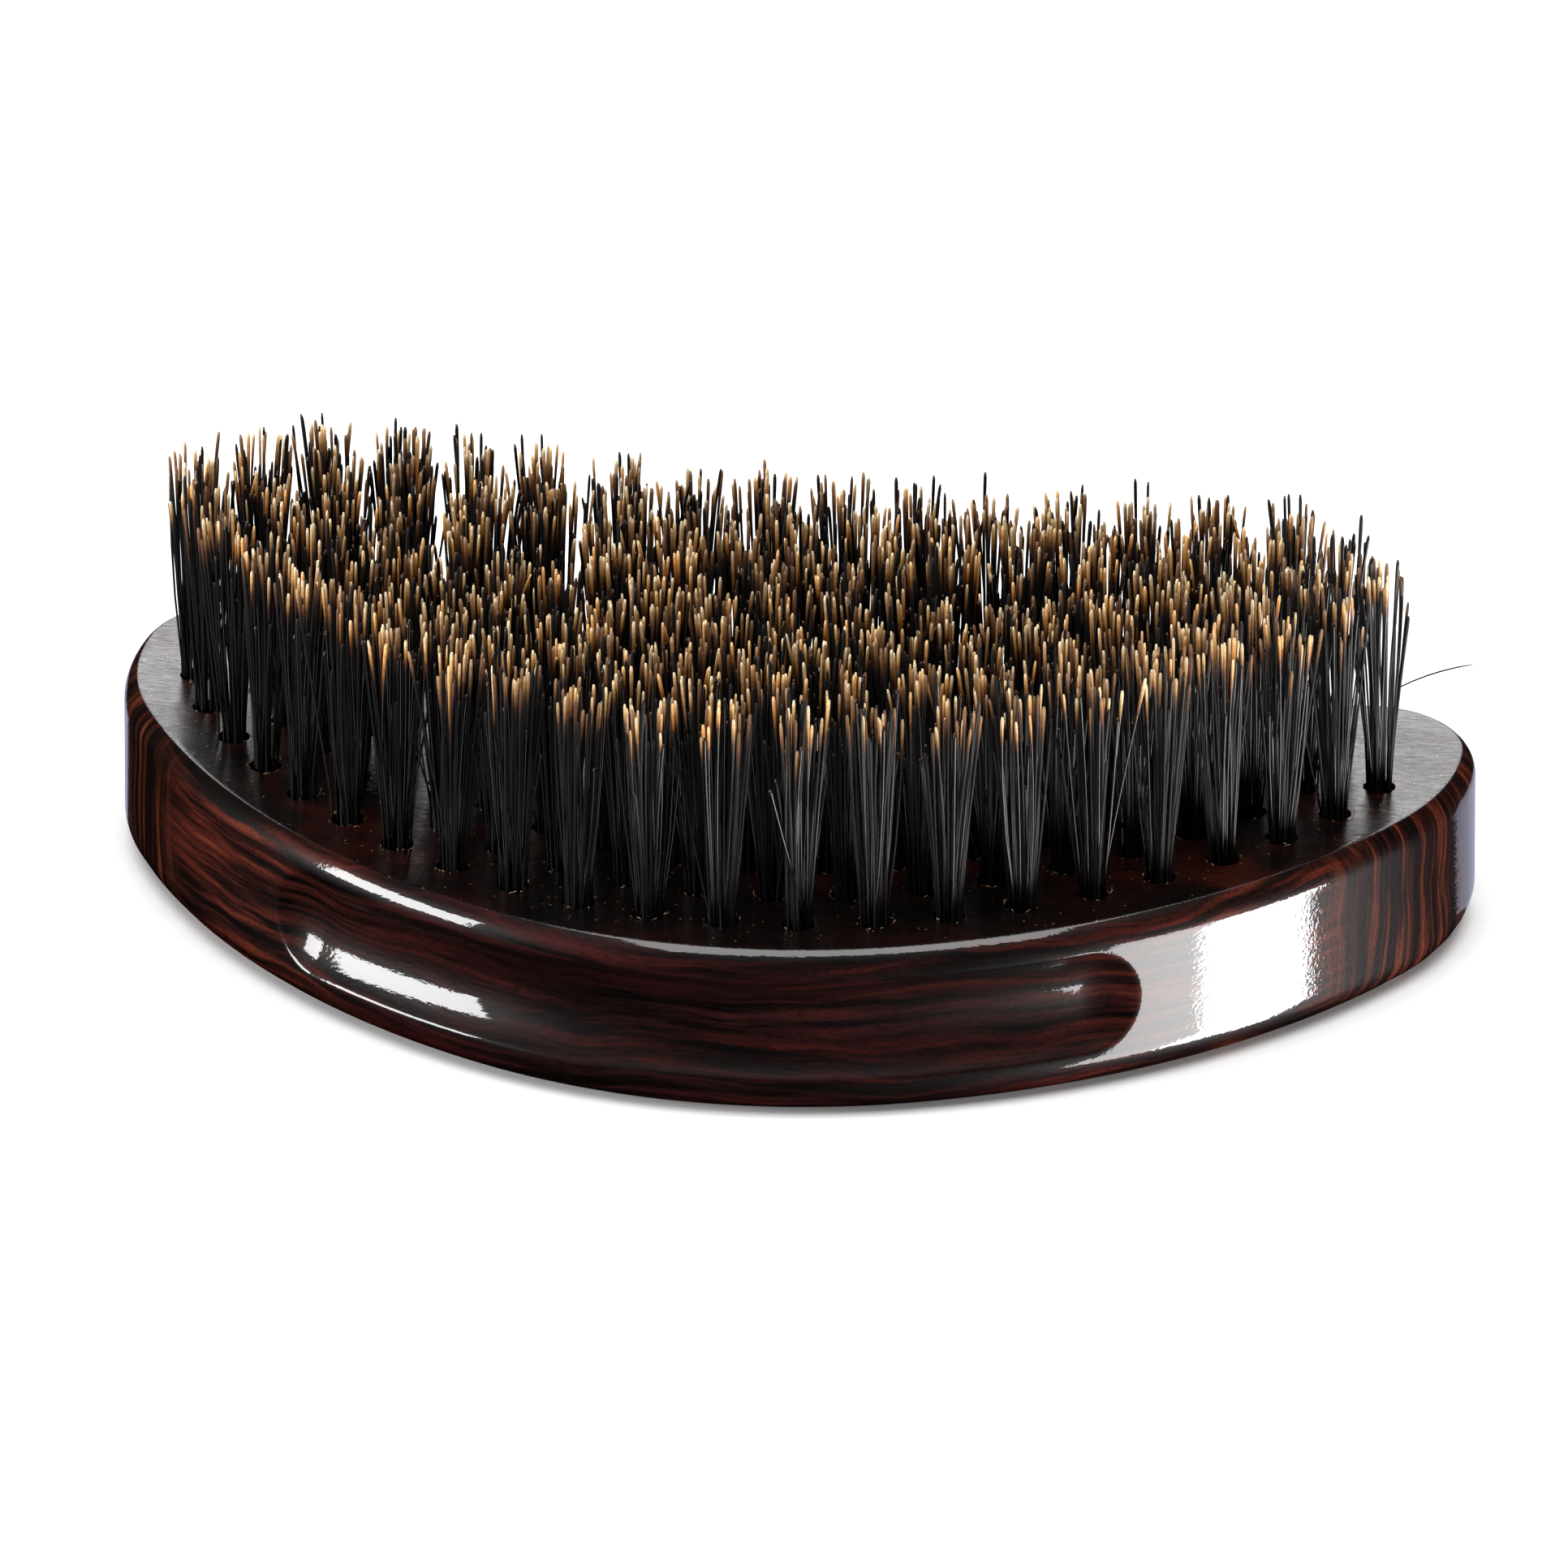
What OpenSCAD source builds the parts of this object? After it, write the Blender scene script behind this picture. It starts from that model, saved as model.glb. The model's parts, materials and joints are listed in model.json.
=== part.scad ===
// Beard brush: a half-moon wooden block with bristle tufts set in drilled holes.
// Each tuft is folded round a flat wire anchor that is driven into its hole.
// The block lies flat on the floor, bristles up, with its long side along X.

/* [Block] */
// Overall length of the block
length = 108; // [104:1:112]
// Thickness of the block
thickness = 14.3; // [13:0.1:17]
// Turn of the middle arc of the front, each side of the centre line, in degrees
front_turn = 21.7; // [20.5:0.1:22.5]
// Radius of the shoulder arc of the front
shoulder_r = 66; // [64.5:0.5:67]
// Turn of the shoulder arc
shoulder_turn = 40.2; // [39.5:0.1:41]
// Radius of the arc round each end
end_r = 24; // [23:0.5:25]
// Turn of the end arc
end_turn = 35; // [34:0.5:36]
// Radius of the two corners at the back
corner_r = 8.8; // [8:0.1:9.5]
// Turn of the hollow back edge, each side of the centre line
back_turn = 9.5; // [9:0.5:11]
// Inset of the flat face's crisp edge from the wall
face_inset = 1.1; // [0.7:0.1:1.3]
// Height of the rounded shoulder under the flat face
shoulder_h = 2.2; // [1.8:0.1:2.6]
// Radius of the bottom edge
bottom_r = 3; // [2:0.1:3.2]

/* [Finger grooves] */
// Depth of the grooves in the wall
groove_depth = 1.7; // [1:0.1:2]
// Height of the grooves
groove_h = 8.6; // [7:0.1:9]
// Height of the grooves' middle line above the base
groove_z = 7.7; // [7:0.1:8]
// Turn of the front groove, each side of its middle
groove_turn = 35.5; // [32:0.5:36.5]
// How far the middle of the front groove stands left of the centre line
groove_shift = 1; // [0:0.1:2.5]
// Turn of the back groove, each side of the centre line
back_groove_turn = 5.6; // [4.6:0.1:6]

/* [Tufts] */
// Height of the bristles above the flat face
bristle_h = 19.5; // [15:0.5:25]
// Distance from the wall to the middle of the outer tufts
edge_gap = 5.7; // [5.6:0.1:6]
// Distance between tufts along a row
pitch = 5.9; // [5.8:0.1:6]
// How far the tufts at the middle of a front row stand left of even spacing
row_shift = 0.8; // [0:0.1:1.5]
// How many tufts are left out at each end of the outer front row
corner_skip = 2; // [0:1:3]
// Distance between the tufts of the short middle row
middle_pitch = 5.35; // [5.2:0.05:5.5]
// Closest that the middles of two tufts come
tuft_gap = 3.8; // [3.8:0.05:4]
// Diameter of a tuft where it leaves its hole
tuft_d = 2.4; // [2.2:0.1:2.5]
// Diameter of a tuft at its tips
tip_d = 3.7; // [3:0.1:3.7]
// Diameter of a drilled hole
hole_d = 2.6; // [2.6:0.05:2.9]
// Depth of a drilled hole
hole_depth = 8; // [7:0.5:9]

/* [Anchors] */
// Width of the flat wire anchor, wider than the hole so that it grips the wood
anchor_w = 3.2; // [3:0.1:3.4]
// Thickness of the flat wire
anchor_t = 0.4; // [0.3:0.05:0.5]
// Height of the flat wire
anchor_h = 1.8; // [1.4:0.1:2.2]
// Height of the fold of bristle under the anchor
fold_h = 1; // [0.8:0.1:1.4]

/* [Hidden] */
$fn = 64;
ring_count = 4;
// The rim is a band of this width, swept round the core that holds the tufts
rim_w = 3.2;
front_steps = 100;
back_steps = 50;
wall_steps = 10;
shoulder_steps = 3;
bottom_steps = 4;
// Headings, from the middle of the front, at which the arcs of the outline meet
turn_1 = front_turn;
turn_2 = turn_1 + shoulder_turn;
turn_3 = turn_2 + end_turn;
turn_4 = 180 + back_turn;
// The middle arc's radius makes the outline as long as it has to be
front_r = (length / 2 - shoulder_r * (sin(turn_2) - sin(turn_1)) - end_r * (1 - sin(turn_2)))
    / sin(turn_1);
depth = front_r * (1 - cos(turn_1)) + shoulder_r * (cos(turn_1) - cos(turn_2))
    + end_r * (cos(turn_2) - cos(turn_3)) + corner_r * (cos(turn_3) + 1);
// Centres of the arcs on the right-hand side
front_c = [0, front_r - depth / 2];
shoulder_c = front_c + (front_r - shoulder_r) * out(turn_1);
end_c = shoulder_c + (shoulder_r - end_r) * out(turn_2);
corner_c = end_c + (end_r - corner_r) * out(turn_3);
corner_end = corner_c + corner_r * out(turn_4);
back_r = corner_end.x / sin(back_turn);
back_c = [0, corner_end.y + back_r * cos(back_turn)];
middle_depth = back_c.y - back_r + depth / 2;
// Rings of tufts are evenly spaced from the wall to the middle
ring_pitch = (middle_depth / 2 - edge_gap) / ring_count;
groove_r = (pow(groove_h / 2, 2) + pow(groove_depth, 2)) / (2 * groove_depth);
groove_out = groove_r - groove_depth;
// Circle of the rounded shoulder, which meets the flat face at a crisp edge
edge_r = (pow(shoulder_h, 2) + pow(face_inset, 2)) / (2 * face_inset);
hole_z = thickness - hole_depth;

// Direction out of the block at a heading along the front
function out(turn) = [sin(turn), -cos(turn)];
function mirrored(p) = [-p.x, p.y];

// Point on the right half of the front, moved inwards by inset
function front_point(turn, inset) =
    turn < turn_1 ? front_c + (front_r - inset) * out(turn)
    : turn < turn_2 ? shoulder_c + (shoulder_r - inset) * out(turn)
    : turn < turn_3 ? end_c + (end_r - inset) * out(turn)
    : corner_c + max(corner_r - inset, 0) * out(turn);

// Length along the moved front from the centre line to a heading
function front_length(turn, inset) = PI / 180 * (
    (front_r - inset) * min(turn, turn_1)
    + (shoulder_r - inset) * max(min(turn, turn_2) - turn_1, 0)
    + (end_r - inset) * max(min(turn, turn_3) - turn_2, 0)
    + max(corner_r - inset, 0) * max(turn - turn_3, 0));

// Heading at which a rising function of the heading passes a value, by halving
function turn_where(f, value, low = 0, high = turn_4, steps = 24) =
    steps == 0 ? low
    : let (mid = (low + high) / 2)
      f(mid) < value ? turn_where(f, value, mid, high, steps - 1)
      : turn_where(f, value, low, mid, steps - 1);

function back_gap(p) = norm(p - back_c) - back_r;
// Heading at which a ring leaves the front and turns along the back
function ring_turn(inset) = turn_where(function(turn) inset - back_gap(front_point(turn, inset)), 0);

// Tufts of the front half of a ring, from the left corner to the right one, less those skipped
function ring_front(inset, odd, skip) =
    let (half = front_length(ring_turn(inset), inset))
    let (count = 2 * round((2 * half / pitch - odd) / 2) + odd)
    [for (i = [skip : count - skip])
        let (even = half * (2 * i / count - 1))
        let (s = even - row_shift * (1 - pow(even / half, 2)))
        let (p = front_point(turn_where(function(turn) front_length(turn, inset), abs(s)), inset))
        s < 0 ? mirrored(p) : p];

// Tufts of the back half of a ring, without the corners
function ring_back(inset, odd) =
    let (r = back_r + inset)
    let (half = asin(front_point(ring_turn(inset), inset).x / r))
    let (count = 2 * round((half * PI / 90 * r / pitch - odd) / 2) + odd)
    [for (i = [1 : count - 1])
        let (turn = half * (2 * i / count - 1))
        back_c + r * out(turn)];

function clear_of(points, others) =
    [for (p = points) if (min([for (q = others) norm(p - q)]) > tuft_gap) p];

function ring_inset(ring) = edge_gap + (ring - 1) * ring_pitch;
front_rows = [for (ring = [1 : ring_count])
    ring_front(ring_inset(ring), ring % 2, ring == 1 ? corner_skip : 0)];
back_rows = [for (ring = [1 : ring_count])
    clear_of(ring_back(ring_inset(ring), ring % 2), front_rows[ring - 1])];
// The space inside the last ring takes one short row
inner = concat(front_rows[ring_count - 1], back_rows[ring_count - 1]);
inner_c = [0, (middle_depth - depth) / 2];
inner_bow = 0.01;
middle_row = clear_of([for (i = [-4 : 3])
    let (x = (i + 0.5) * middle_pitch)
    inner_c + [x, inner_bow * x * x]], inner);

function left(points) = [for (p = points) if (p.x < -0.01) p];
function right(points) = [for (p = points) if (p.x >= -0.01) p];
function half_row(points, side) = side == "left" ? left(points) : right(points);
ROWS = concat(
    [for (i = [1 : ring_count], side = ["left", "right"])
        [str("front_row_", i, "_", side), half_row(front_rows[i - 1], side)]],
    [["middle_row", middle_row]],
    [for (i = [ring_count : -1 : 1], side = ["left", "right"])
        [str("back_row_", i, "_", side), half_row(back_rows[i - 1], side)]]);
all_tufts = [for (row = ROWS) each row[1]];

// Places round the outline: the front from the left corner to the right one, then the back
front_half = front_length(turn_4, 0);
stations = concat(
    [for (i = [0 : front_steps])
        let (s = front_half * (2 * i / front_steps - 1))
        ["front", s, turn_where(function(turn) front_length(turn, 0), abs(s))]],
    [for (i = [1 : back_steps - 1])
        let (turn = back_turn * (1 - 2 * i / back_steps))
        ["back", turn * PI / 180 * back_r, turn]]);

// Point at a station, moved inwards by inset
function moved(station, inset) =
    station[0] == "back" ? back_c + (back_r + inset) * out(station[2])
    : station[1] < 0 ? mirrored(front_point(station[2], inset))
    : front_point(station[2], inset);

// Depth of the finger groove: a round channel with a ball end
function groove(station, z) =
    let (is_back = station[0] == "back")
    let (half = is_back ? back_groove_turn * PI / 180 * back_r : front_length(groove_turn, 0))
    let (past = max(abs(station[1] + (is_back ? 0 : groove_shift)) - half, 0))
    max(sqrt(max(pow(groove_r, 2) - pow(z - groove_z, 2) - pow(past, 2), 0)) - groove_out, 0);

// Section of the rim as insets and heights, from the inside of the base to the inside of the face
wall_h = thickness - shoulder_h - bottom_r;
rim_section = concat(
    [[rim_w, 0]],
    [for (i = [0 : bottom_steps - 1])
        let (a = 90 * i / bottom_steps)
        [bottom_r * (1 - sin(a)), bottom_r * (1 - cos(a))]],
    [for (i = [0 : wall_steps]) [0, bottom_r + wall_h * i / wall_steps]],
    [for (i = [1 : shoulder_steps])
        let (h = shoulder_h * i / shoulder_steps)
        [edge_r - sqrt(edge_r * edge_r - h * h), thickness - shoulder_h + h]],
    [[rim_w, thickness]]);

module rim() {
    n = len(rim_section);
    points = [for (station = stations, q = rim_section)
        let (p = moved(station, q[0] + (q[0] < rim_w ? groove(station, q[1]) : 0)))
        [p.x, p.y, q[1]]];
    faces = [for (i = [0 : len(stations) - 1], j = [0 : n - 1])
        let (i2 = (i + 1) % len(stations), j2 = (j + 1) % n)
        each [[i * n + j, i * n + j2, i2 * n + j2], [i * n + j, i2 * n + j2, i2 * n + j]]];
    polyhedron(points, faces);
}

module core() {
    linear_extrude(thickness) polygon([for (station = stations) moved(station, rim_w)]);
}

module holes() {
    for (p = all_tufts) translate([p.x, p.y, hole_z]) {
        cylinder(h = hole_depth + 1, d = hole_d);
        translate([0, 0, fold_h + anchor_h / 2]) cube([anchor_w, anchor_t, anchor_h], center = true);
    }
}

module block() {
    color("#4a1c12") union() {
        rim();
        difference() {
            core();
            holes();
        }
    }
}

// A tuft fills its hole, is folded under its anchor, and spreads towards its tips
module tuft() {
    difference() {
        union() {
            cylinder(h = hole_depth, d = tuft_d);
            translate([0, 0, hole_depth]) cylinder(h = bristle_h, d1 = tuft_d, d2 = tip_d);
        }
        translate([0, 0, fold_h + anchor_h / 2]) cube([anchor_w, anchor_t, anchor_h], center = true);
    }
}

module tufts(points) {
    color("#2b2724") for (p = points) translate([p.x, p.y, hole_z]) tuft();
}

module anchors(points) {
    color("#b9a05a") for (p = points) translate([p.x, p.y, hole_z + fold_h + anchor_h / 2])
        cube([anchor_w, anchor_t, anchor_h], center = true);
}

block();
for (row = ROWS) {
    tufts(row[1]);
    anchors(row[1]);
}
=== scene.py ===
import json
import math
import random
import bmesh
import bpy
from mathutils import Matrix, Vector

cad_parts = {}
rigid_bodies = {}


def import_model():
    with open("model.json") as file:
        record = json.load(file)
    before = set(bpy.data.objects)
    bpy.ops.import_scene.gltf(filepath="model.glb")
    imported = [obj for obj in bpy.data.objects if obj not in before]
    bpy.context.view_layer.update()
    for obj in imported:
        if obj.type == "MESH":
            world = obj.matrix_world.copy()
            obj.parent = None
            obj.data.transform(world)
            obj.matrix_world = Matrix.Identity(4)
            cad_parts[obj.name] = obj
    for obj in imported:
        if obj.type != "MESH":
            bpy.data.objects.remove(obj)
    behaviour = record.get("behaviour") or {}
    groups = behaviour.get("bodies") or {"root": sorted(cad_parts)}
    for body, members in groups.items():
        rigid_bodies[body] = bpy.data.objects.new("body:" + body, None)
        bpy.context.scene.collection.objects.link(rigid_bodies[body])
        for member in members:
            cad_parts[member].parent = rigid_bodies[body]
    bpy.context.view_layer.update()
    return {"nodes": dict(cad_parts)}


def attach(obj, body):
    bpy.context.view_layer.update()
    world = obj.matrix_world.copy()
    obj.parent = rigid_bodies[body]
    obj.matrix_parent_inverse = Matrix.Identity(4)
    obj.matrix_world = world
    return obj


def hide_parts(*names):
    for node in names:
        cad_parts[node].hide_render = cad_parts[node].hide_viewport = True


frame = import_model()
mm = 0.001
scene = bpy.context.scene
tuftNodes = [name for name in frame["nodes"] if name.endswith("_tufts")]
anchorNodes = [name for name in frame["nodes"] if name.endswith("_anchors")]
print("frame loaded:", len(tuftNodes), "tuft rows,", len(anchorNodes), "anchor rows")


# small helpers

def srgb(code, alpha=1.0):
    parts = [int(code[i:i + 2], 16) / 255 for i in (1, 3, 5)]
    linear = [p / 12.92 if p <= 0.04045 else ((p + 0.055) / 1.055) ** 2.4 for p in parts]
    return (*linear, alpha)


def addNode(tree, kind, settings=None, **links):
    # settings go on the node, links on its inputs: a socket is joined, a plain value is set
    node = tree.nodes.new(kind)
    for name, value in (settings or {}).items():
        setattr(node, name, value)
    for name, value in links.items():
        key = int(name[1:]) if name[0] == "i" and name[1:].isdigit() else name.replace("_", " ")
        if isinstance(value, bpy.types.NodeSocket):
            tree.links.new(value, node.inputs[key])
        else:
            node.inputs[key].default_value = value
    return node


def setRamp(node, stops):
    marks = node.color_ramp.elements
    while len(marks) < len(stops):
        marks.new(0.5)
    for mark, (place, colour) in zip(marks, stops):
        mark.position = place
        mark.color = srgb(colour) if isinstance(colour, str) else (colour, colour, colour, 1.0)
    return node.outputs["Color"]


def newMaterial(name):
    material = bpy.data.materials.new(name)
    material.use_nodes = True
    tree = material.node_tree
    return material, tree, tree.nodes["Principled BSDF"]


def addObject(name, bm, material, smooth=True):
    mesh = bpy.data.meshes.new(name)
    bm.to_mesh(mesh)
    bm.free()
    mesh.materials.append(material)
    for face in mesh.polygons:
        face.use_smooth = smooth
    piece = bpy.data.objects.new(name, mesh)
    scene.collection.objects.link(piece)
    return piece


# camera: a long lens from far away, to the front and a little right, looking down

cameraSettings = dict(
    azimuth=12.0, elevation=25.83,        # degrees, from the front towards the right, and looking down
    distance=3.79, lens=1105.4, sensor=36.0, clip=(0.1, 30),
    aimRight=2.365, aimUp=14.016,         # mm, the point looked at, across the view from the origin
)


def makeCamera(s):
    az, el = math.radians(s["azimuth"]), math.radians(s["elevation"])
    right = Vector((math.cos(az), math.sin(az), 0))
    back = Vector((math.sin(az) * math.cos(el), -math.cos(az) * math.cos(el), math.sin(el)))
    up = back.cross(right)
    data = bpy.data.cameras.new("camera")
    data.lens = s["lens"]
    data.sensor_width = s["sensor"]
    data.clip_start, data.clip_end = s["clip"]
    camera = bpy.data.objects.new("camera", data)
    spot = (right * s["aimRight"] + up * s["aimUp"]) * mm + back * s["distance"]
    camera.matrix_world = Matrix.Translation(spot) @ Matrix((right, up, back)).transposed().to_4x4()
    scene.collection.objects.link(camera)
    scene.camera = camera


makeCamera(cameraSettings)


# varnished rosewood: turned and routed, sanded, then flooded with a clear gloss varnish.
# The eye gets deep red-brown with near-black figure, orange where the grain turns out, and mirror reflections.

rosewood = dict(
    waveSize=17.0, waveAcross=5.0, waveUp=3.5,  # mm, slow wander of the grain
    streakLength=17.0, streakDepth=13.0, streakWidth=0.85,  # mm, dark figure that runs round the block
    middleTones=[(0.34, "#050202"), (0.46, "#130404"), (0.56, "#240808"), (0.70, "#3a100c")],
    warmTones=[(0.38, "#070202"), (0.48, "#220a06"), (0.57, "#45170c"), (0.70, "#622815")],
    endTones=[(0.41, "#080202"), (0.51, "#240b06"), (0.59, "#461b0e"), (0.70, "#652e18")],
    fibreLength=5.0, fibreWidth=0.10,     # mm, drawn coarser than real pores so that it shows
    poreTones=[(0.36, 0.45), (0.52, 1.0)], poreStrength=0.8,
    stripeWidth=0.42, stripeLength=7.0, stripeHeight=22.0,  # mm, growth lines that stand upright on the two ends
    endStart=44.5, endFull=49.0,          # mm from the middle, where upright lines take over
    warmStart=22.0, warmFull=44.0,        # mm from the middle, where orange comes in
    dustCell=0.8, faceHeight=14.24,       # mm, bristle dust, one speck at most in a cell of the flat face
    dustSize=0.085, dustShare=0.45, dustTone="#9a7040",
    sandingWidth=0.16, sandingLength=9.0,  # mm, sanding lines on the flat face
    sandingDepth=6.0,                     # times the grain's relief
    grainDepth=0.05, varnishDepth=0.03, bumpStrength=0.3,  # mm, relief of the wood and of the varnish over it
    roughness=0.42, varnishRoughness=0.04,
    woodShine=0.15,                       # the varnish fills the grain, so the wood itself hardly shines
    paintedFaceShade=0.45,                       # painted shade: the flat face is darkened by this factor, to offset the overhead light it gets
)


def perMm(*sizes):
    # how often a pattern of these sizes in mm repeats
    return tuple(1 / (size * mm) for size in sizes)


def varnishedRosewood(s):
    material, tree, shader = newMaterial("varnished_rosewood")
    coords = addNode(tree, "ShaderNodeTexCoord").outputs["Object"]
    place = addNode(tree, "ShaderNodeSeparateXYZ", Vector=coords)
    side = addNode(tree, "ShaderNodeMath", {"operation": "ABSOLUTE"}, i0=place.outputs["X"]).outputs[0]
    onFace = addNode(tree, "ShaderNodeMath", {"operation": "GREATER_THAN"}, i0=place.outputs["Z"],
                     i1=s["faceHeight"] * mm).outputs[0]
    blend = {"data_type": "RGBA", "blend_type": "MIX"}
    darken = {"data_type": "RGBA", "blend_type": "MULTIPLY"}

    # the grain wanders slowly
    wave = addNode(tree, "ShaderNodeTexNoise", Vector=coords, Scale=perMm(s["waveSize"])[0], Detail=2.0)
    wave = addNode(tree, "ShaderNodeVectorMath", {"operation": "SUBTRACT"}, i0=wave.outputs["Color"],
                   i1=(0.5, 0.5, 0.5))
    wave = addNode(tree, "ShaderNodeVectorMath", {"operation": "MULTIPLY"}, i0=wave.outputs[0],
                   i1=(0.0, s["waveAcross"] * mm, s["waveUp"] * mm))
    grain = addNode(tree, "ShaderNodeVectorMath", {"operation": "ADD"}, i0=coords, i1=wave.outputs[0]).outputs[0]

    # long figure on the front, back and flat face, warmer away from the middle
    spread = addNode(tree, "ShaderNodeMapping", Vector=grain,
                     Scale=perMm(s["streakLength"], s["streakDepth"], s["streakWidth"]))
    figure = addNode(tree, "ShaderNodeTexNoise", Vector=spread.outputs[0], Scale=1.0, Detail=4.0, Roughness=0.6,
                     Distortion=0.3).outputs["Fac"]
    middle = setRamp(addNode(tree, "ShaderNodeValToRGB", Fac=figure), s["middleTones"])
    warm = setRamp(addNode(tree, "ShaderNodeValToRGB", Fac=figure), s["warmTones"])
    warmth = addNode(tree, "ShaderNodeMapRange", {"interpolation_type": "SMOOTHSTEP"}, Value=side,
                     From_Min=s["warmStart"] * mm, From_Max=s["warmFull"] * mm).outputs[0]
    body = addNode(tree, "ShaderNodeMix", blend, i0=warmth, i6=middle, i7=warm).outputs[2]

    # upright growth lines on the ends
    spread = addNode(tree, "ShaderNodeMapping", Vector=grain,
                     Scale=perMm(s["stripeLength"], s["stripeWidth"] * 2, s["stripeHeight"]))
    stripes = addNode(tree, "ShaderNodeTexNoise", Vector=spread.outputs[0], Scale=1.0, Detail=3.0, Roughness=0.7)
    ends = setRamp(addNode(tree, "ShaderNodeValToRGB", Fac=stripes.outputs["Fac"]), s["endTones"])
    atEnd = addNode(tree, "ShaderNodeMapRange", {"interpolation_type": "SMOOTHSTEP"}, Value=side,
                    From_Min=s["endStart"] * mm, From_Max=s["endFull"] * mm).outputs[0]
    body = addNode(tree, "ShaderNodeMix", blend, i0=atEnd, i6=body, i7=ends).outputs[2]

    # pores: short fine dark lines over everything
    spread = addNode(tree, "ShaderNodeMapping", Vector=grain,
                     Scale=perMm(s["fibreLength"], s["fibreWidth"] * 2, s["fibreWidth"] * 2))
    pores = addNode(tree, "ShaderNodeTexNoise", Vector=spread.outputs[0], Scale=1.0, Detail=2.0)
    poreShade = setRamp(addNode(tree, "ShaderNodeValToRGB", Fac=pores.outputs["Fac"]), s["poreTones"])
    body = addNode(tree, "ShaderNodeMix", darken, i0=s["poreStrength"], i6=body, i7=poreShade).outputs[2]

    # painted shade: the flat face is darkened to offset the overhead light on it, and has bristle dust caught on
    # it
    body = addNode(tree, "ShaderNodeMix", darken, i0=onFace, i6=body, i7=(s["paintedFaceShade"],) * 3 + (1.0,)).outputs[2]
    cells = addNode(tree, "ShaderNodeTexVoronoi", {"feature": "F1"}, Vector=coords, Scale=perMm(s["dustCell"])[0])
    speck = addNode(tree, "ShaderNodeMath", {"operation": "LESS_THAN"}, i0=cells.outputs["Distance"],
                    i1=s["dustSize"])
    tone = addNode(tree, "ShaderNodeSeparateColor", Color=cells.outputs["Color"]).outputs[0]
    chosen = addNode(tree, "ShaderNodeMath", {"operation": "GREATER_THAN"}, i0=tone, i1=s["dustShare"])
    dust = addNode(tree, "ShaderNodeMath", {"operation": "MULTIPLY"}, i0=speck.outputs[0], i1=chosen.outputs[0])
    dust = addNode(tree, "ShaderNodeMath", {"operation": "MULTIPLY"}, i0=dust.outputs[0], i1=onFace)
    body = addNode(tree, "ShaderNodeMix", blend, i0=dust.outputs[0], i6=body, i7=srgb(s["dustTone"])).outputs[2]
    tree.links.new(body, shader.inputs["Base Color"])

    # the varnish follows the grain a little, which frays the edges of reflections
    spread = addNode(tree, "ShaderNodeMapping", Vector=grain,
                     Scale=perMm(s["fibreLength"] * 1.6, s["fibreWidth"] * 3, s["fibreWidth"] * 3))
    fibres = addNode(tree, "ShaderNodeTexNoise", Vector=spread.outputs[0], Scale=1.0, Detail=2.0)
    relief = addNode(tree, "ShaderNodeMath", {"operation": "ADD"}, i0=fibres.outputs["Fac"], i1=figure).outputs[0]
    bump = addNode(tree, "ShaderNodeBump", Strength=s["bumpStrength"], Distance=s["grainDepth"] * mm,
                   Height=relief)
    tree.links.new(bump.outputs[0], shader.inputs["Normal"])

    # the flat face got only a thin coat, so its sanding lines still show through
    spread = addNode(tree, "ShaderNodeMapping", Vector=grain,
                     Scale=perMm(s["sandingLength"], s["sandingWidth"], s["sandingLength"]))
    sanding = addNode(tree, "ShaderNodeTexNoise", Vector=spread.outputs[0], Scale=1.0, Detail=3.0, Roughness=0.7)
    sanding = addNode(tree, "ShaderNodeMath", {"operation": "MULTIPLY"}, i0=sanding.outputs["Fac"], i1=onFace)
    ridges = addNode(tree, "ShaderNodeMath", {"operation": "MULTIPLY_ADD"}, i0=sanding.outputs[0],
                     i1=s["sandingDepth"], i2=relief)
    coatBump = addNode(tree, "ShaderNodeBump", Strength=s["bumpStrength"], Distance=s["varnishDepth"] * mm,
                       Height=ridges.outputs[0])
    tree.links.new(coatBump.outputs[0], shader.inputs["Coat Normal"])
    shader.inputs["Roughness"].default_value = s["roughness"]
    shader.inputs["IOR"].default_value = 1.5
    shader.inputs["Specular IOR Level"].default_value = s["woodShine"]
    shader.inputs["Coat Weight"].default_value = 1.0
    shader.inputs["Coat Roughness"].default_value = s["varnishRoughness"]
    shader.inputs["Coat IOR"].default_value = 1.52
    return material


# the block: one edge section swept round the outline, a routed finger groove on each long side, drilled face

block = dict(
    outline=[                             # radius, turn in degrees, step in mm; a negative radius is hollow
        (46.9347, 21.7, 0.7), (66.0, 11.0, 0.6), (66.0, 10.0, 0.2), (66.0, 19.2, 0.6), (24.0, 35.0, 0.4),
        (8.8, 92.6, 0.35), (-264.393, 2.78, 0.7), (-264.393, 2.17, 0.2), (-264.393, 4.55, 0.7)],
    frontY=-27.7462, faceHeight=14.3,
    shoulderHeight=2.2, shoulderRadius=2.75, bottomRadius=3.0,
    wallRow=0.13, rimBevel=0.16,
    grooveRadius=6.288, grooveOut=4.588, grooveHeight=7.7, lipEase=0.12,
    frontGroove=33.672, backGroove=25.842,  # mm along the wall, from a groove's middle to where a ball end starts
    grooveShift=1.0,                      # mm, the front groove stands this far left of the middle
    holeRadius=1.3, holeDepth=8.0, holeSides=18,
    flatInset=4.0, bottomSteps=8, shoulderSteps=12,
    seamSnap=0.02, seamMerge=0.005, merge=0.002, faceMargin=0.01,   # mm, for closing the mesh
    sharpAngle=38,                        # degrees
)


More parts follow.
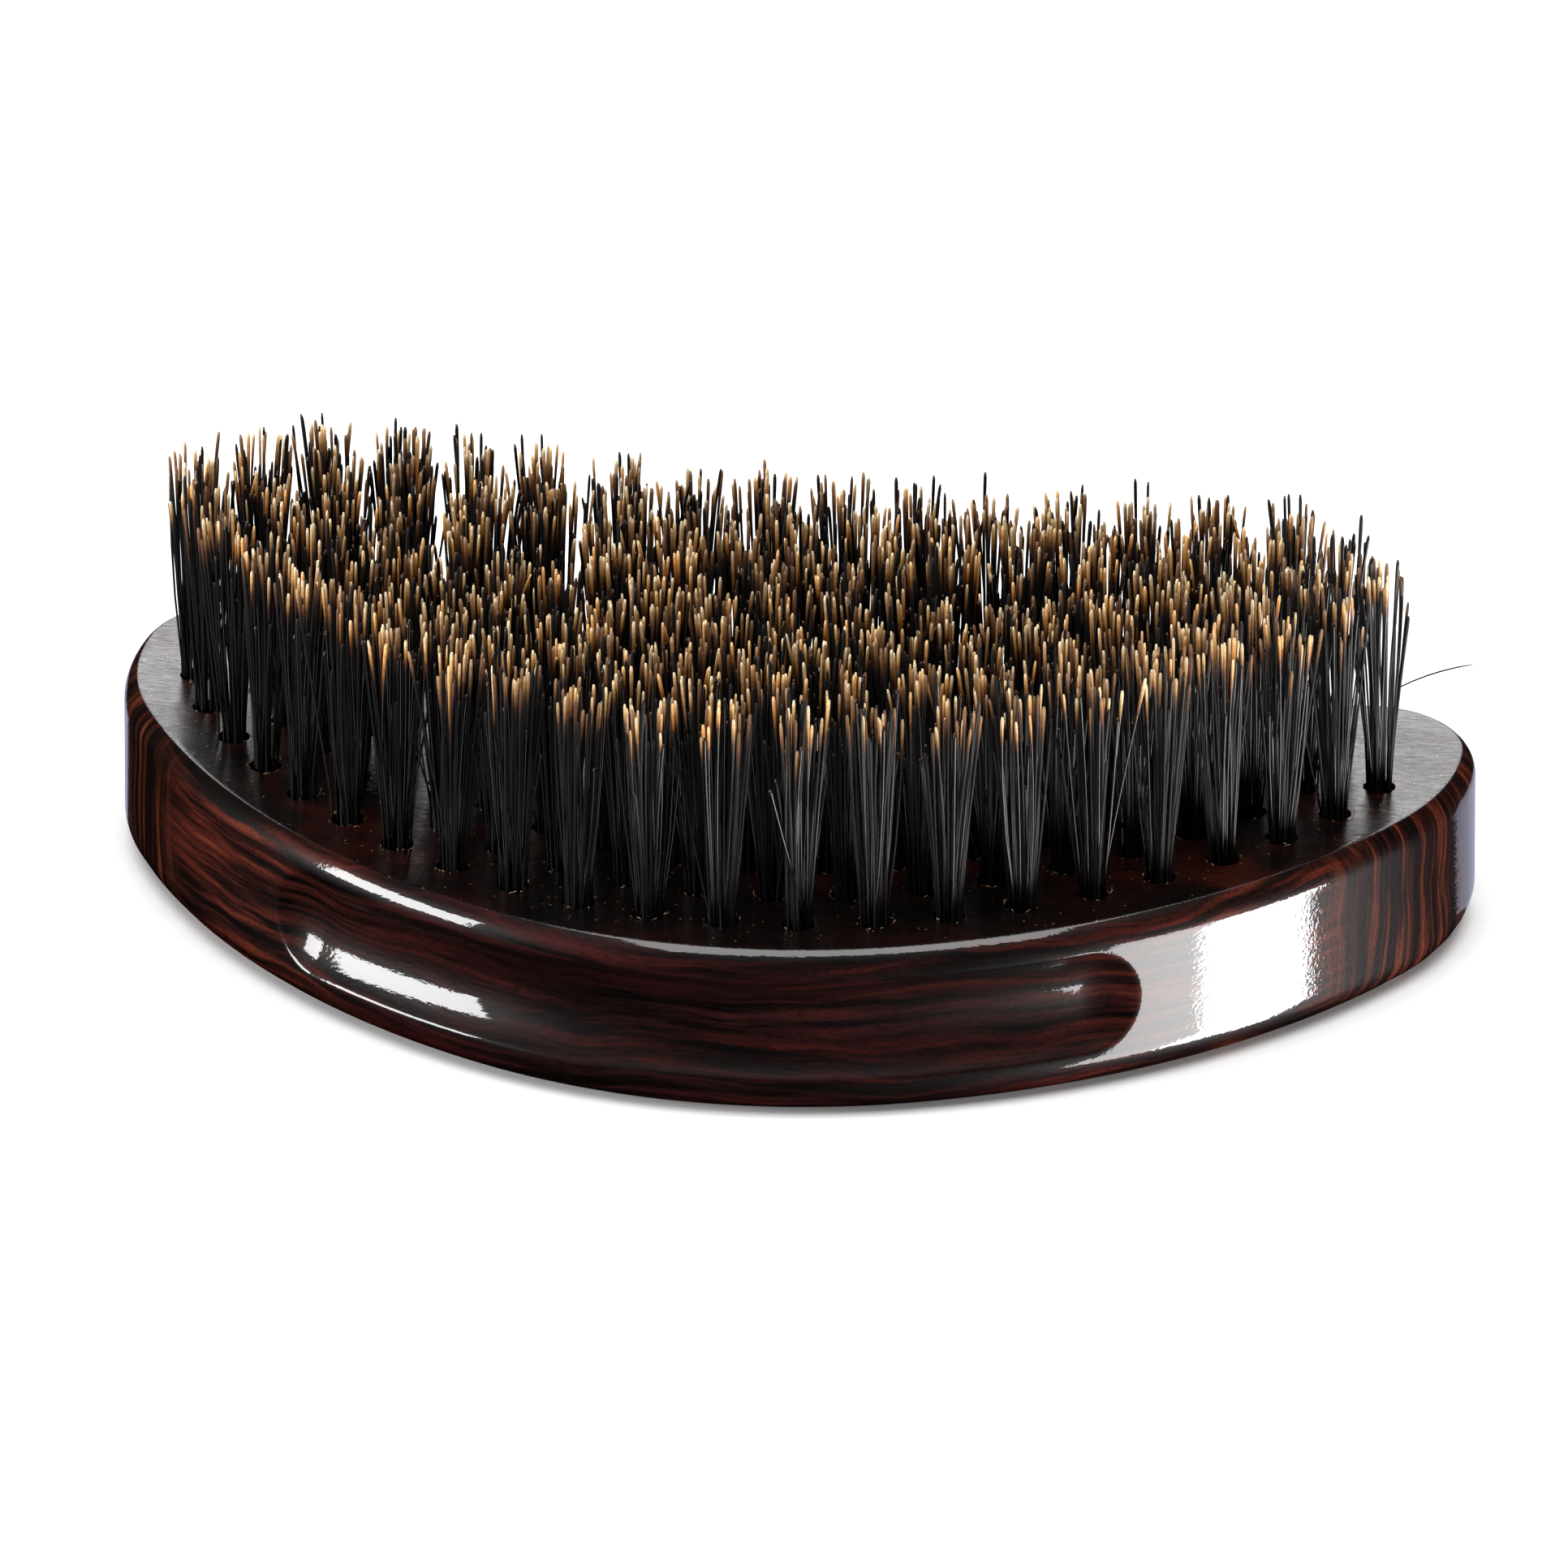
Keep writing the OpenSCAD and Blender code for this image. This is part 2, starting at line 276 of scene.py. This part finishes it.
def edgeSection(s):
    # inset from the wall and height, from the underside round to the flat face
    points = [(s["flatInset"], 0.0), (s["bottomRadius"], 0.0)]
    for i in range(1, s["bottomSteps"] + 1):
        turn = math.radians(90 * i / s["bottomSteps"])
        points.append((s["bottomRadius"] * (1 - math.sin(turn)), s["bottomRadius"] * (1 - math.cos(turn))))
    wallTop = s["faceHeight"] - s["shoulderHeight"]
    rows = round((wallTop - s["bottomRadius"]) / s["wallRow"])
    points += [(0.0, s["bottomRadius"] + (wallTop - s["bottomRadius"]) * i / rows) for i in range(1, rows + 1)]
    full = math.asin(s["shoulderHeight"] / s["shoulderRadius"])
    for i in range(1, s["shoulderSteps"] + 1):
        turn = full * i / s["shoulderSteps"]
        points.append((s["shoulderRadius"] * (1 - math.cos(turn)), wallTop + s["shoulderRadius"] * math.sin(turn)))
    inset, height = points.pop()
    b = s["rimBevel"]
    rim = [(-0.8, -0.6), (-0.16, -0.17), (0.7, 0), (2.5, 0)]   # the crisp edge, slightly broken, in bevels
    points += [(inset + across * b, height + up * b) for across, up in rim] + [(s["flatInset"], height)]
    return points


def grooveDepth(s, past, height):
    # how far a ball-ended cutter reaches past the wall, with its lip eased by sanding
    room = s["grooveRadius"] ** 2 - (height - s["grooveHeight"]) ** 2 - past ** 2
    reach = math.sqrt(max(room, 0)) - s["grooveOut"]
    return 0.5 * (reach + math.sqrt(reach ** 2 + s["lipEase"] ** 2))


def makeBlock(s, holes, material):
    bm = bmesh.new()
    alongLayer = bm.verts.layers.float.new("along")
    outwardLayer = bm.verts.layers.float_vector.new("outward")
    chain = [bm.verts.new((0, s["frontY"] + inset, height)) for inset, height in edgeSection(s)]
    last = chain + [bm.edges.new(pair) for pair in zip(chain, chain[1:])]
    total = sum(abs(radius) * math.radians(turn) for radius, turn, _ in s["outline"])
    heading, along, spot = 0.0, 0.0, Vector((0, s["frontY"], 0))
    for v in chain:
        v[outwardLayer] = (0, -1, 0)
    for radius, turn, step in s["outline"]:
        centre = spot - Vector((math.sin(heading), -math.cos(heading), 0)) * radius
        angle = math.radians(turn) * (1 if radius > 0 else -1)
        before = len(bm.verts)
        last = bmesh.ops.spin(bm, geom=last, cent=centre, axis=(0, 0, 1), angle=angle,
                              steps=max(1, round(abs(angle * radius) / step)))["geom_last"]
        bm.verts.ensure_lookup_table()
        for v in bm.verts[before:]:
            outward = (v.co - centre).xy.normalized() * (1 if radius > 0 else -1)
            turned = (math.atan2(outward.x, -outward.y) - heading + math.pi) % math.tau - math.pi
            v[alongLayer] = along + abs(turned * radius)
            v[outwardLayer] = outward.to_3d()
        spot = centre + Matrix.Rotation(angle, 3, "Z") @ (spot - centre)
        heading += angle
        along += abs(angle * radius)
    for v in bm.verts:
        if abs(v.co.x) < s["seamSnap"]:
            v.co.x = 0
    bmesh.ops.mirror(bm, geom=bm.verts[:] + bm.edges[:] + bm.faces[:], axis="X", merge_dist=s["seamMerge"])
    bmesh.ops.remove_doubles(bm, verts=bm.verts, dist=s["merge"])
    for v in bm.verts:
        left = v.co.x < 0
        outward = v[outwardLayer].xy
        if left:
            outward.x = -outward.x
        if v[alongLayer] < total / 2:
            place = v[alongLayer] * (-1 if left else 1) + s["grooveShift"]
            past = max(abs(place) - s["frontGroove"], 0)
        else:
            past = max(total - v[alongLayer] - s["backGroove"], 0)
        v.co.xy -= outward * grooveDepth(s, past, v.co.z)

    def openEdges(height):
        return [e for e in bm.edges if e.is_boundary
                and all(abs(v.co.z - height) < s["faceMargin"] for v in e.verts)]

    rings = []
    for x, y in holes:
        ring = bmesh.ops.create_circle(bm, segments=s["holeSides"], radius=s["holeRadius"],
                                       matrix=Matrix.Translation((x, y, s["faceHeight"])))["verts"]
        rings += dict.fromkeys(e for v in ring for e in v.link_edges)
    faceEdges = [e for e in openEdges(s["faceHeight"]) if e not in set(rings)]
    bmesh.ops.triangle_fill(bm, use_beauty=True, edges=faceEdges + rings, normal=(0, 0, 1))
    walls = bmesh.ops.extrude_edge_only(bm, edges=rings)["geom"]
    low = [v for v in walls if isinstance(v, bmesh.types.BMVert)]
    bmesh.ops.translate(bm, verts=low, vec=(0, 0, -s["holeDepth"]))
    bmesh.ops.holes_fill(bm, edges=[e for e in bm.edges if e.is_boundary], sides=s["holeSides"])
    bmesh.ops.triangle_fill(bm, use_beauty=True, edges=openEdges(0), normal=(0, 0, -1))
    bmesh.ops.recalc_face_normals(bm, faces=bm.faces)
    bmesh.ops.scale(bm, vec=(mm, mm, mm), verts=bm.verts)
    print("block: open edges", len([e for e in bm.edges if not e.is_manifold]), "faces", len(bm.faces))
    piece = addObject("block_varnished", bm, material)
    piece.data.set_sharp_from_angle(angle=math.radians(s["sharpAngle"]))
    return piece


def tuftPlaces(node):
    # the middle of each separate solid in a packed row, and where it starts and ends
    bm = bmesh.new()
    bm.from_mesh(frame["nodes"][node].data)
    bmesh.ops.remove_doubles(bm, verts=bm.verts, dist=1e-6)
    places, seen = [], set()
    for start in bm.verts:
        if start in seen:
            continue
        seen.add(start)
        pile, group = [start], []
        while pile:
            v = pile.pop()
            group.append(v.co.copy())
            for e in v.link_edges:
                other = e.other_vert(v)
                if other not in seen:
                    seen.add(other)
                    pile.append(other)
        lows = [min(c[i] for c in group) / mm for i in range(3)]
        highs = [max(c[i] for c in group) / mm for i in range(3)]
        places.append(((lows[0] + highs[0]) / 2, (lows[1] + highs[1]) / 2, lows[2], highs[2]))
    bm.free()
    return sorted(places)


rows = {node: tuftPlaces(node) for node in tuftNodes}
allTufts = [place for node in tuftNodes for place in rows[node]]
print("tufts found:", len(allTufts))

woodFinish = varnishedRosewood(rosewood)
blockPiece = makeBlock(block, [(x, y) for x, y, _, _ in allTufts], woodFinish)
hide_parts("block")
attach(blockPiece, "root")
print("block done")


# boar bristle: natural hair, bundled and cut level. The eye gets near-black hairs with a thin shine here and
# there, bleached to brown and tan at their blunt tips, every one a little different.

bristleFinish = dict(
    # pale hairs darken from the tip down, partly their own colour and partly painted shade of the inside of the
    # tuft
    paleTones=[(0.0, "#fff0cc"), (0.14, "#eac188"), (0.32, "#a97a41"), (0.52, "#4c2c16"), (0.74, "#170d08"),
               (0.96, "#050506")],        # from the tip down
    darkTones=[(0.0, "#5a4432"), (0.03, "#241812"), (0.12, "#0e0a09"), (0.5, "#050506")],
    hairTones=[(0.0, "#5c463a"), (0.35, "#a8907c"), (0.7, "#ffffff"), (1.0, "#ffd9a8")],   # from hair to hair
    mottleSize=0.35, mottleTones=[(0.3, 0.62), (0.62, 1.0)], mottleStrength=0.8,           # mm
    glossTones=[(0.5, 0.75), (0.64, 0.24)],   # roughness, from hair to hair
    shine=0.4,
)


def boarBristle(s):
    material, tree, shader = newMaterial("boar_bristle")
    fromTip = addNode(tree, "ShaderNodeAttribute", {"attribute_name": "fromTip"}).outputs["Fac"]
    shade = addNode(tree, "ShaderNodeAttribute", {"attribute_name": "shade"}).outputs["Fac"]
    pale = addNode(tree, "ShaderNodeAttribute", {"attribute_name": "pale"}).outputs["Fac"]
    # pale hairs go dark below the tip: partly their own colour, partly painted shade inside the tuft
    golden = setRamp(addNode(tree, "ShaderNodeValToRGB", Fac=fromTip), s["paleTones"])
    black = setRamp(addNode(tree, "ShaderNodeValToRGB", Fac=fromTip), s["darkTones"])
    body = addNode(tree, "ShaderNodeMix", {"data_type": "RGBA"}, i0=pale, i6=black, i7=golden).outputs[2]

    # every hair has its own tint, and is mottled along its length
    darken = {"data_type": "RGBA", "blend_type": "MULTIPLY"}
    tint = setRamp(addNode(tree, "ShaderNodeValToRGB", Fac=shade), s["hairTones"])
    body = addNode(tree, "ShaderNodeMix", darken, i0=1.0, i6=body, i7=tint).outputs[2]
    coords = addNode(tree, "ShaderNodeTexCoord").outputs["Object"]
    mottle = addNode(tree, "ShaderNodeTexNoise", Vector=coords, Scale=perMm(s["mottleSize"])[0], Detail=1.0)
    mottle = setRamp(addNode(tree, "ShaderNodeValToRGB", Fac=mottle.outputs["Fac"]), s["mottleTones"])
    body = addNode(tree, "ShaderNodeMix", darken, i0=s["mottleStrength"], i6=body, i7=mottle).outputs[2]
    tree.links.new(body, shader.inputs["Base Color"])

    # only some hairs are smooth enough to shine
    gloss = setRamp(addNode(tree, "ShaderNodeValToRGB", Fac=shade), s["glossTones"])
    tree.links.new(gloss, shader.inputs["Roughness"])
    shader.inputs["Specular IOR Level"].default_value = s["shine"]
    shader.inputs["IOR"].default_value = 1.55
    return material


bristles = dict(
    perTuft=42, paleShare=0.5, sides=5,
    levels=[0.0, 0.34, 0.56, 0.74, 0.88, 0.955, 0.986, 1.0],   # share of the length
    widths=[0.78, 0.8, 0.84, 0.92, 1.1, 1.3, 1.25, 0.7],       # share of the radius
    radius=0.11, radiusSpread=0.022,       # mm
    holeFill=1.02, footLift=0.9,           # mm, where hairs start, from the hole's middle and from the tuft's foot
    fan=1.35, tuftTilt=0.22,               # mm at the tips, how much a tuft opens and leans
    drift=0.42, bend=0.6,                  # mm, how much a hair leans and bows
    strayShare=0.06, strayDrift=1.7,
    tuftRise=(-0.7, 0.4), paleDrop=1.2,    # mm from the cut height, for a tuft and for a pale hair in it
    darkHeight=16.2, darkSpread=2.4,       # mm above the flat face, tips of the dark hairs
    shortest=7.0, overshoot=0.6,
    colourAndShadeReach=4.8, reachSpread=(0.7, 1.25),  # mm from the tip over which a pale hair turns black, partly its own colour and partly painted shade inside the tuft, and times
    longShare=0.08, longReach=1.8,             # hairs that stay pale further down
)


def hairPrototype(sides, cuts):
    bm = bmesh.new()
    bmesh.ops.create_cone(bm, cap_ends=True, cap_tris=False, segments=sides, radius1=1, radius2=1, depth=1)
    bmesh.ops.translate(bm, verts=bm.verts, vec=(0, 0, 0.5))
    upright = [e for e in bm.edges if abs(e.verts[0].co.z - e.verts[1].co.z) > 0.5]
    bmesh.ops.subdivide_edges(bm, edges=upright, cuts=cuts, use_grid_fill=True)
    mesh = bpy.data.meshes.new("hair_prototype")
    bm.to_mesh(mesh)
    bm.free()
    return mesh


def addHair(bm, proto, layers, path, radius, s, marks, lying=False):
    # one copy of the prototype, with its rings laid along a path from root to tip
    before = len(bm.verts)
    bm.from_mesh(proto)
    bm.verts.ensure_lookup_table()
    steps = len(s["levels"]) - 1
    for v in bm.verts[before:]:
        ring = round(v.co.z * steps)
        level = s["levels"][ring]
        width = radius * s["widths"][ring]
        spot = path(level)
        v[layers[0]] = marks["length"] * (1 - level) / marks["reach"]
        v[layers[1]] = marks["shade"]
        v[layers[2]] = marks["pale"]
        across = (0, v.co.y * width, v.co.x * width) if lying else (v.co.x * width, v.co.y * width, 0)
        v.co = Vector(spot) + Vector(across)


def makeRow(node, s, proto, material, rng, faceHeight):
    bm = bmesh.new()
    layers = [bm.verts.layers.float.new(name) for name in ("fromTip", "shade", "pale")]
    for cx, cy, low, high in rows[node]:
        tuftRise = rng.uniform(*s["tuftRise"])
        tuftTilt = (rng.gauss(0, s["tuftTilt"]), rng.gauss(0, s["tuftTilt"]))
        for _ in range(s["perTuft"]):
            far, way = math.sqrt(rng.random()), rng.uniform(0, math.tau)
            bx, by = far * math.cos(way), far * math.sin(way)
            isPale = rng.random() < s["paleShare"]
            if isPale:
                top = high + tuftRise - abs(rng.gauss(0, s["paleDrop"]))
            else:
                top = faceHeight + s["darkHeight"] + rng.gauss(0, s["darkSpread"])
            top = min(max(top, faceHeight + s["shortest"]), high + s["overshoot"])
            isStray = rng.random() < s["strayShare"]
            loose = s["strayDrift"] if isStray else s["drift"]
            lean = (bx * s["fan"] + tuftTilt[0] + rng.gauss(0, loose),
                    by * s["fan"] + tuftTilt[1] + rng.gauss(0, loose))
            curl = (rng.gauss(0, s["bend"]), rng.gauss(0, s["bend"]))
            rootX, rootY = cx + bx * s["holeFill"], cy + by * s["holeFill"]
            start = low + s["footLift"]

            def path(level):
                z = start + (top - start) * level
                rise = max(z - faceHeight, 0) / (top - faceHeight)
                arch = rise * (1 - rise)
                return (rootX + lean[0] * rise + curl[0] * arch, rootY + lean[1] * rise + curl[1] * arch, z)

            shade = rng.random()
            reach = s["colourAndShadeReach"] * rng.uniform(*s["reachSpread"])
            reach *= s["longReach"] if rng.random() < s["longShare"] else 1
            marks = dict(length=top - start, shade=shade, pale=1.0 if isPale else 0.0, reach=reach)
            radius = s["radius"] + rng.uniform(-1, 1) * s["radiusSpread"]
            addHair(bm, proto, layers, path, radius, s, marks)
    bmesh.ops.scale(bm, vec=(mm, mm, mm), verts=bm.verts)
    piece = addObject(node.replace("_tufts", "_bristles"), bm, material)
    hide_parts(node)
    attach(piece, "root")
    return piece


hairFinish = boarBristle(bristleFinish)
hairProto = hairPrototype(bristles["sides"], len(bristles["levels"]) - 2)
rng = random.Random(11)
for node in tuftNodes:
    makeRow(node, bristles, hairProto, hairFinish, rng, block["faceHeight"])
print("bristles done")


# drawn brass wire for the hidden anchors: faint lines along the wire, warm and slightly dull

brassWire = dict(
    lineLength=4.0, lineWidth=0.06, lineDepth=0.01,   # mm, marks left by the drawing die
    tones=[(0.3, "#a8864a"), (0.7, "#d9bb74")],
    bumpStrength=0.3, roughness=0.32,
)


def drawnBrass(s):
    material, tree, shader = newMaterial("drawn_brass_wire")
    coords = addNode(tree, "ShaderNodeTexCoord").outputs["Object"]
    spread = addNode(tree, "ShaderNodeMapping", Vector=coords,
                     Scale=perMm(s["lineLength"], s["lineWidth"], s["lineWidth"]))
    lines = addNode(tree, "ShaderNodeTexNoise", Vector=spread.outputs[0], Scale=1.0, Detail=2.0).outputs["Fac"]
    tone = setRamp(addNode(tree, "ShaderNodeValToRGB", Fac=lines), s["tones"])
    tree.links.new(tone, shader.inputs["Base Color"])
    bump = addNode(tree, "ShaderNodeBump", Strength=s["bumpStrength"], Distance=s["lineDepth"] * mm,
                   Height=lines)
    tree.links.new(bump.outputs[0], shader.inputs["Normal"])
    shader.inputs["Metallic"].default_value = 1.0
    shader.inputs["Roughness"].default_value = s["roughness"]
    return material


brassFinish = drawnBrass(brassWire)
for node in anchorNodes:
    for slot in frame["nodes"][node].material_slots:
        slot.material = brassFinish
print("anchors done")


# fluff: short broken hair ends lying round each hole

fluff = dict(
    perHole=8, sides=4, levels=[0.0, 0.5, 1.0], widths=[0.8, 1.0, 0.6],
    radius=0.03, length=(0.12, 0.45),     # mm
    fromRim=(-0.1, 0.25),                 # mm out from the hole's rim
    turn=(0.9, 1.7),                      # radians away from pointing outwards
    lift=(0.0, 0.25), arch=0.1,           # mm
    paleness=0.8 / 9.0,                   # how far down a pale hair's colours they start
)


def makeFluff(s, material, rng):
    proto = hairPrototype(s["sides"], len(s["levels"]) - 2)
    bm = bmesh.new()
    layers = [bm.verts.layers.float.new(name) for name in ("fromTip", "shade", "pale")]
    for cx, cy, _, _ in allTufts:
        for _ in range(s["perHole"]):
            way = rng.uniform(0, math.tau)
            out = block["holeRadius"] + rng.uniform(*s["fromRim"])
            length = rng.uniform(*s["length"])
            aim = way + rng.choice((-1, 1)) * rng.uniform(*s["turn"])
            x0, y0 = cx + out * math.cos(way), cy + out * math.sin(way)
            lift = rng.uniform(*s["lift"])

            def path(level):
                return (x0 + length * math.cos(aim) * level, y0 + length * math.sin(aim) * level,
                        block["faceHeight"] + s["radius"] + lift * level + s["arch"] * level * (1 - level))

            marks = dict(length=s["paleness"], reach=1.0, shade=rng.random(), pale=1.0)
            addHair(bm, proto, layers, path, s["radius"], s, marks)
    bmesh.ops.scale(bm, vec=(mm, mm, mm), verts=bm.verts)
    piece = addObject("hole_fluff", bm, material)
    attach(piece, "root")


makeFluff(fluff, hairFinish, random.Random(5))
print("fluff done")


# loose hairs: a few that have come free at the two ends

looseHairs = dict(
    radius=0.07, shade=0.2, sides=5,
    levels=[0.0, 0.2, 0.4, 0.6, 0.8, 1.0], widths=[1.0, 1.0, 1.0, 1.0, 0.9, 0.5],
    # distance from the end tuft's middle and height above the face at the root, half way and at the tip, in mm
    left=[((-1.0, 0.3, 0.05), (-1.5, 0.4, 8.0), (-2.3, 0.5, 14.6)),
          ((-0.9, -0.6, 0.05), (-1.0, -0.7, 8.4), (-1.9, -0.4, 17.4))],
    right=[((1.5, 0.0, 8.8), (4.3, 0.0, 10.6), (7.4, 0.0, 11.4))],
)


def makeLooseHairs(s, material):
    proto = hairPrototype(s["sides"], len(s["levels"]) - 2)
    bm = bmesh.new()
    layers = [bm.verts.layers.float.new(name) for name in ("fromTip", "shade", "pale")]
    ends = dict(left=min(allTufts), right=max(allTufts))
    for side, end in ends.items():
        foot = Vector((end[0], end[1], block["faceHeight"]))
        for root, middle, tip in s[side]:

            def path(level):
                weights = ((1 - level) ** 2, 2 * level * (1 - level), level ** 2)
                bends = [Vector(point) * weight for point, weight in zip((root, middle, tip), weights)]
                return foot + sum(bends, Vector((0, 0, 0)))

            marks = dict(length=1.0, reach=1.0, shade=s["shade"], pale=0.0)
            lying = abs(tip[0] - root[0]) > abs(tip[2] - root[2])
            addHair(bm, proto, layers, path, s["radius"], s, marks, lying)
    bmesh.ops.scale(bm, vec=(mm, mm, mm), verts=bm.verts)
    piece = addObject("loose_hairs", bm, material)
    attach(piece, "root")


makeLooseHairs(looseHairs, hairFinish)
print("loose hairs done")


# studio: an overexposed pale floor, a soft light overhead and softboxes that the varnish mirrors

studio = dict(
    floorSize=7.0, floorGlow=0.05, floorTones=[(0.3, "#f6f6f6"), (0.7, "#fafafa")], paperTooth=2.0,
    worldStrength=0.22, aimHeight=12.0,   # mm, what the lights point at
    # heading from the front towards the right and elevation in degrees, distance, width and height in metres,
    # brightness, and whether it lights only the bristles
    lights=dict(
        overhead=(20, 76, 0.9, 0.9, 0.7, 5.0, False),
        leftBox=(-64, 10, 0.55, 0.24, 0.20, 17.0, False),
        rightBox=(84, -27, 0.50, 0.14, 0.24, 22.0, False),
        rightFill=(69, -27, 0.50, 0.15, 0.24, 9.0, False),
        backBox=(191, 27, 0.80, 0.80, 0.40, 3.8, False),
        lowBack=(180, -24, 0.80, 1.10, 0.14, 0.7, False),
        hairLight=(14, -24, 0.50, 0.10, 0.22, 7.0, True),
    ),
    tints=dict(lowBack=(0.72, 0.78, 1.0)),
)


def makeStudio(s):
    bm = bmesh.new()
    bmesh.ops.create_grid(bm, x_segments=1, y_segments=1, size=s["floorSize"] / 2)
    material, tree, shader = newMaterial("pale_paper_floor")
    coords = addNode(tree, "ShaderNodeTexCoord").outputs["Object"]
    tooth = addNode(tree, "ShaderNodeTexNoise", Vector=coords, Scale=perMm(s["paperTooth"])[0], Detail=2.0)
    tone = setRamp(addNode(tree, "ShaderNodeValToRGB", Fac=tooth.outputs["Fac"]), s["floorTones"])
    tree.links.new(tone, shader.inputs["Base Color"])
    shader.inputs["Roughness"].default_value = 0.9
    shader.inputs["Specular IOR Level"].default_value = 0.0
    shader.inputs["Emission Color"].default_value = (1, 1, 1, 1)
    shader.inputs["Emission Strength"].default_value = s["floorGlow"]
    floor = addObject("floor", bm, material, smooth=False)
    floor.visible_glossy = False          # the varnish mirrors only the softboxes
    floor.visible_shadow = False          # the low softboxes shine from under the floor's level
    middle = Vector((0, 0, s["aimHeight"] * mm))
    hairs = bpy.data.collections.new("bristles_only")
    for piece in [o for o in scene.objects if o.name.endswith("_bristles")]:
        hairs.objects.link(piece)
    for name, (heading, elevation, distance, width, height, brightness, onlyHairs) in s["lights"].items():
        data = bpy.data.lights.new(name, "AREA")
        data.shape = "RECTANGLE"
        data.size, data.size_y = width, height
        data.energy = brightness * math.pi * width * height
        data.color = s["tints"].get(name, (1.0, 1.0, 1.0))
        lamp = bpy.data.objects.new(name, data)
        turn, lift = math.radians(heading), math.radians(elevation)
        away = Vector((math.sin(turn) * math.cos(lift), -math.cos(turn) * math.cos(lift), math.sin(lift)))
        lamp.location = middle + away * distance
        lamp.rotation_euler = away.to_track_quat("Z", "Y").to_euler()
        lamp.visible_camera = False
        if onlyHairs:
            lamp.light_linking.receiver_collection = hairs
        scene.collection.objects.link(lamp)
    world = bpy.data.worlds.new("white_studio")
    world.use_nodes = True
    backdrop = world.node_tree.nodes["Background"]
    backdrop.inputs["Color"].default_value = (1, 1, 1, 1)
    backdrop.inputs["Strength"].default_value = s["worldStrength"]
    world.cycles_visibility.glossy = False
    scene.world = world
    scene.view_settings.view_transform = "Standard"


makeStudio(studio)
print("studio done")
